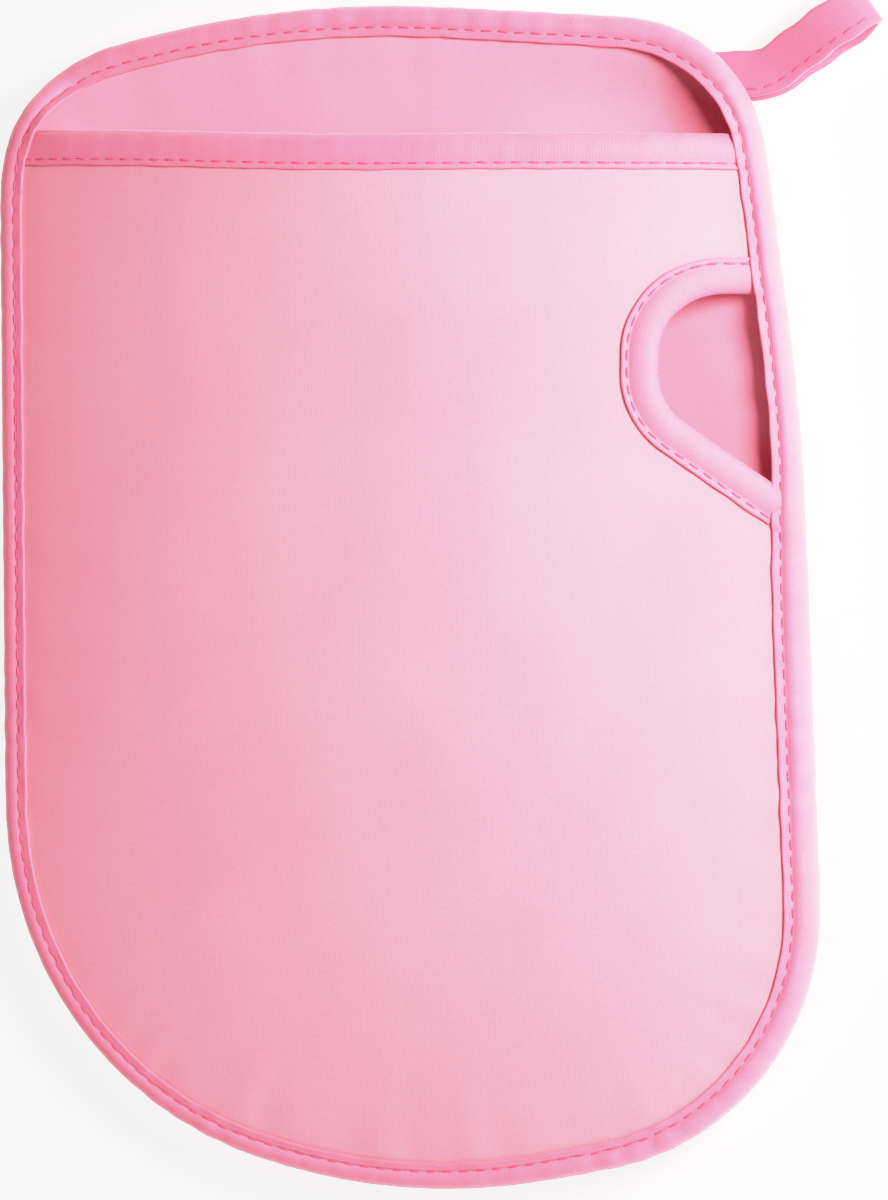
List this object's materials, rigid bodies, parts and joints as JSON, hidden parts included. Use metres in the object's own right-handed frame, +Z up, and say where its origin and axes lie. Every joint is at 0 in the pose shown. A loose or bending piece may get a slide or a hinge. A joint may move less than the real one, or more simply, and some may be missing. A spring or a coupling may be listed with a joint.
{
  "type": "bath mitt",
  "caption": "Padded cloth bath mitt with a bound open mouth, a bound thumb opening on one side and a folded tape loop to hang it by.",
  "frame": {"origin": "middle of the back panel's flat underside, where the mitt rests on a surface", "axes": "+Y towards the open mouth at the wrist, +X towards the thumb opening and hanging loop, +Z up through the front panel"},
  "size_m": [0.1678, 0.2231, 0.0276],
  "materials": {
    "face_cloth": "fine smooth knit, soft sheen",
    "foam": "soft open-cell foam",
    "lining_cloth": "fine smooth knit",
    "binding_tape": "satin woven tape, soft sheen",
    "loop_tape": "satin woven tape, soft sheen",
    "thread": "spun thread"
  },
  "bodies": {
    "mitt": {"front_lining": "lining_cloth", "front_foam": "foam", "front_face": "face_cloth", "back_face": "face_cloth", "back_foam": "foam", "back_lining": "lining_cloth", "edge_binding": "binding_tape", "mouth_binding": "binding_tape", "thumb_binding": "binding_tape", "loop_tab": "loop_tape", "edge_seam_needle_thread": "thread", "edge_seam_bobbin_thread": "thread", "mouth_seam_needle_thread": "thread", "mouth_seam_bobbin_thread": "thread", "thumb_seam_needle_thread": "thread", "thumb_seam_bobbin_thread": "thread", "loop_tack_stitches": "thread"},
    "loop": {"hanging_loop": "loop_tape", "loop_stitching": "thread"}
  },
  "joints": [
    {"name": "loop_swing", "type": "hinge", "parent": "mitt", "child": "loop", "pos_m": [0.06315, 0.0968, 0.0041], "axis": [0.5, -0.866, 0], "range_deg": [-3, 80]}
  ]
}
